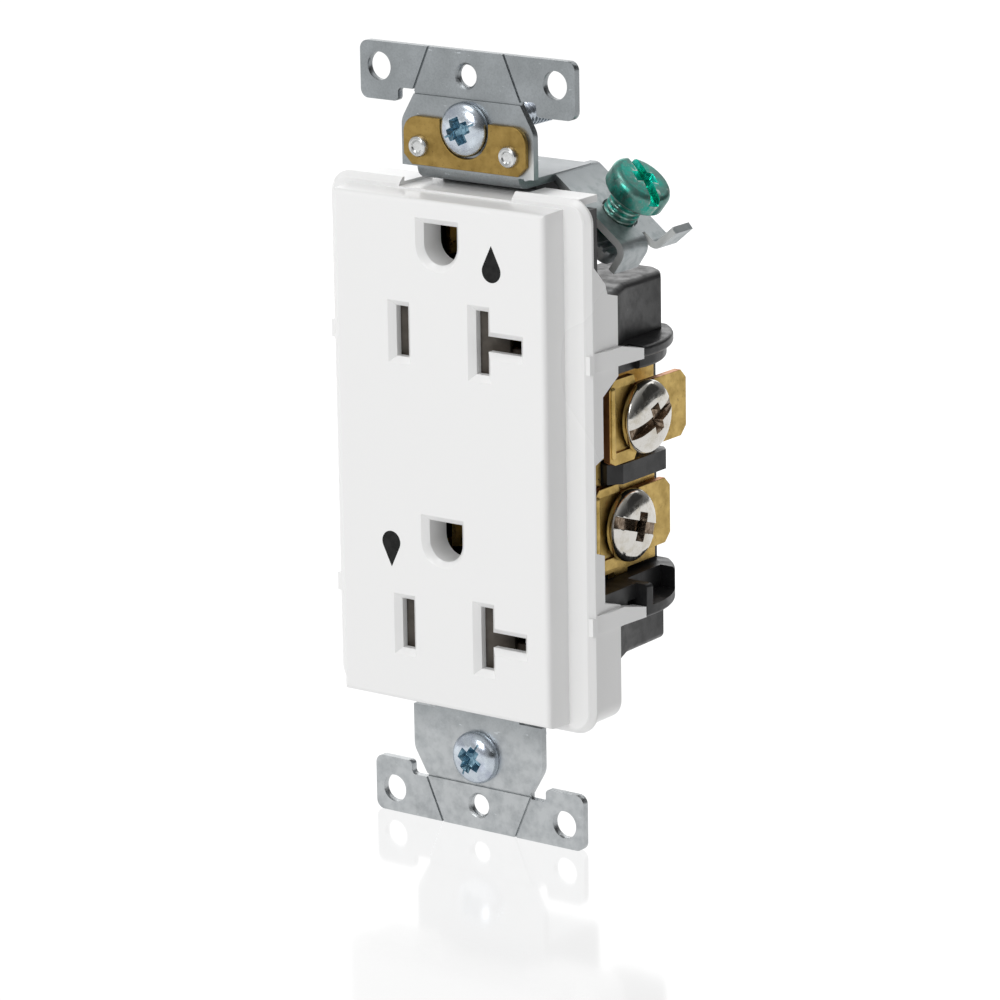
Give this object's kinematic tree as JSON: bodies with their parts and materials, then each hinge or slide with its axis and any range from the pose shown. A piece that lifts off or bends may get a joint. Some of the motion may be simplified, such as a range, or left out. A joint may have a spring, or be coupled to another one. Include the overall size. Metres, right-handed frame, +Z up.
{
  "type": "duplex receptacle",
  "caption": "Decorator-style wall receptacle: two grounded outlets with T-shaped neutral slots, side wire clamps, wrapped metal strap and captive mounting screws.",
  "frame": {"origin": "centre of the mounting strap's rear face, midway between the wall plate's screw holes", "axes": "+X to the right seen from the front, +Y back into the wall, +Z up"},
  "size_m": [0.0434, 0.03, 0.1034],
  "materials": {
    "face_white": "moulded, glossy",
    "body_black": "moulded, satin",
    "strap_steel": "zinc plated, satin",
    "clip_brass": "rolled, mottled",
    "rivet_steel": "bright zinc",
    "ground_green": "green passivated, worn edges",
    "screw_zinc": "bluish zinc",
    "fibre_black": "fibre",
    "tray_grey": "moulded",
    "shutter_tan": "moulded",
    "spring_steel": "drawn wire",
    "contact_brass": "rolled",
    "clamp_brass": "pressed, copper-coloured edges",
    "screw_nickel": "nickel plated",
    "screw_brass": "brass plated"
  },
  "bodies": {
    "receptacle": {"face_cover": "face_white", "rear_body": "body_black", "mounting_strap": "strap_steel", "grounding_clip": "clip_brass", "clip_rivets": "rivet_steel", "ground_rivets": "rivet_steel", "upper_shutter_tray": "tray_grey", "lower_shutter_tray": "tray_grey", "upper_shutter_spring": "spring_steel", "lower_shutter_spring": "spring_steel", "ground_upper_contact": "contact_brass", "ground_lower_contact": "contact_brass", "neutral_strip": "contact_brass", "hot_strip": "contact_brass", "neutral_upper_contact": "contact_brass", "neutral_lower_contact": "contact_brass", "hot_upper_contact": "contact_brass", "hot_lower_contact": "contact_brass"},
    "upper_shutter_body": {"upper_shutter": "shutter_tan"},
    "lower_shutter_body": {"lower_shutter": "shutter_tan"},
    "ground_screw_body": {"ground_screw": "ground_green"},
    "ground_clamp_body": {"ground_clamp_plate": "strap_steel"},
    "neutral_upper_clamp_body": {"neutral_upper_clamp": "clamp_brass"},
    "neutral_upper_screw_body": {"neutral_upper_screw": "screw_nickel"},
    "neutral_lower_clamp_body": {"neutral_lower_clamp": "clamp_brass"},
    "neutral_lower_screw_body": {"neutral_lower_screw": "screw_nickel"},
    "hot_upper_clamp_body": {"hot_upper_clamp": "clamp_brass"},
    "hot_upper_screw_body": {"hot_upper_screw": "screw_brass"},
    "hot_lower_clamp_body": {"hot_lower_clamp": "clamp_brass"},
    "hot_lower_screw_body": {"hot_lower_screw": "screw_brass"},
    "upper_retainer_body": {"upper_screw_retainer": "fibre_black"},
    "upper_mounting_screw_body": {"upper_mounting_screw": "screw_zinc"},
    "lower_retainer_body": {"lower_screw_retainer": "fibre_black"},
    "lower_mounting_screw_body": {"lower_mounting_screw": "screw_zinc"}
  },
  "joints": [
    {"name": "upper_shutter_slide", "type": "slide", "parent": "receptacle", "child": "upper_shutter_body", "axis": [-1, 0, 0], "range_m": [0, 0.003], "stiffness_N_per_m": 100, "springref_m": -0.003, "deforming": ["upper_shutter_spring"]},
    {"name": "lower_shutter_slide", "type": "slide", "parent": "receptacle", "child": "lower_shutter_body", "axis": [-1, 0, 0], "range_m": [0, 0.003], "stiffness_N_per_m": 100, "springref_m": -0.003, "deforming": ["lower_shutter_spring"]},
    {"name": "neutral_upper_clamp_slide", "type": "slide", "parent": "receptacle", "child": "neutral_upper_clamp_body", "axis": [1, 0, 0], "range_m": [-0.0026, 0]},
    {"name": "neutral_upper_screw_turn", "type": "hinge", "parent": "neutral_upper_clamp_body", "child": "neutral_upper_screw_body", "pos_m": [0.0155, 0.0111, 0.0042], "axis": [1, 0, 0], "range_deg": [-1180, 0]},
    {"name": "neutral_lower_clamp_slide", "type": "slide", "parent": "receptacle", "child": "neutral_lower_clamp_body", "axis": [1, 0, 0], "range_m": [0, 0.0026]},
    {"name": "neutral_lower_screw_turn", "type": "hinge", "parent": "neutral_lower_clamp_body", "child": "neutral_lower_screw_body", "pos_m": [0.0155, 0.0111, -0.0106], "axis": [1, 0, 0], "range_deg": [0, 1180]},
    {"name": "hot_upper_clamp_slide", "type": "slide", "parent": "receptacle", "child": "hot_upper_clamp_body", "axis": [-1, 0, 0], "range_m": [-0.0026, 0]},
    {"name": "hot_upper_screw_turn", "type": "hinge", "parent": "hot_upper_clamp_body", "child": "hot_upper_screw_body", "pos_m": [-0.0155, 0.0111, 0.0042], "axis": [-1, 0, 0], "range_deg": [-1180, 0]},
    {"name": "hot_lower_clamp_slide", "type": "slide", "parent": "receptacle", "child": "hot_lower_clamp_body", "axis": [-1, 0, 0], "range_m": [0, 0.0026]},
    {"name": "hot_lower_screw_turn", "type": "hinge", "parent": "hot_lower_clamp_body", "child": "hot_lower_screw_body", "pos_m": [-0.0155, 0.0111, -0.0106], "axis": [-1, 0, 0], "range_deg": [0, 1180]},
    {"name": "ground_screw_turn", "type": "hinge", "parent": "receptacle", "child": "ground_screw_body", "pos_m": [0.0147, 0.0116, 0.03027], "axis": [0.6157, 0, 0.788], "range_deg": [-750, 0]},
    {"name": "ground_clamp_slide", "type": "slide", "parent": "receptacle", "child": "ground_clamp_body", "axis": [0.6157, 0, 0.788], "range_m": [0, 0.00165]},
    {"name": "upper_retainer_slide", "type": "slide", "parent": "receptacle", "child": "upper_retainer_body", "axis": [0, -1, 0], "range_m": [0, 0.0023]},
    {"name": "upper_mounting_screw_turn", "type": "hinge", "parent": "upper_retainer_body", "child": "upper_mounting_screw_body", "pos_m": [0, 0.0028, 0.04167], "axis": [0, -1, 0], "continuous": true},
    {"name": "lower_retainer_slide", "type": "slide", "parent": "receptacle", "child": "lower_retainer_body", "axis": [0, -1, 0], "range_m": [0, 0.0023]},
    {"name": "lower_mounting_screw_turn", "type": "hinge", "parent": "lower_retainer_body", "child": "lower_mounting_screw_body", "pos_m": [0, 0.0028, -0.04167], "axis": [0, -1, 0], "continuous": true}
  ],
  "couplings": [
    {"joint": "neutral_upper_screw_turn", "follows": "neutral_upper_clamp_slide", "rad_per_m": 7913.3},
    {"joint": "neutral_lower_screw_turn", "follows": "neutral_lower_clamp_slide", "rad_per_m": 7913.3},
    {"joint": "hot_upper_screw_turn", "follows": "hot_upper_clamp_slide", "rad_per_m": 7913.3},
    {"joint": "hot_lower_screw_turn", "follows": "hot_lower_clamp_slide", "rad_per_m": 7913.3},
    {"joint": "ground_screw_turn", "follows": "ground_clamp_slide", "rad_per_m": -7913.3}
  ]
}
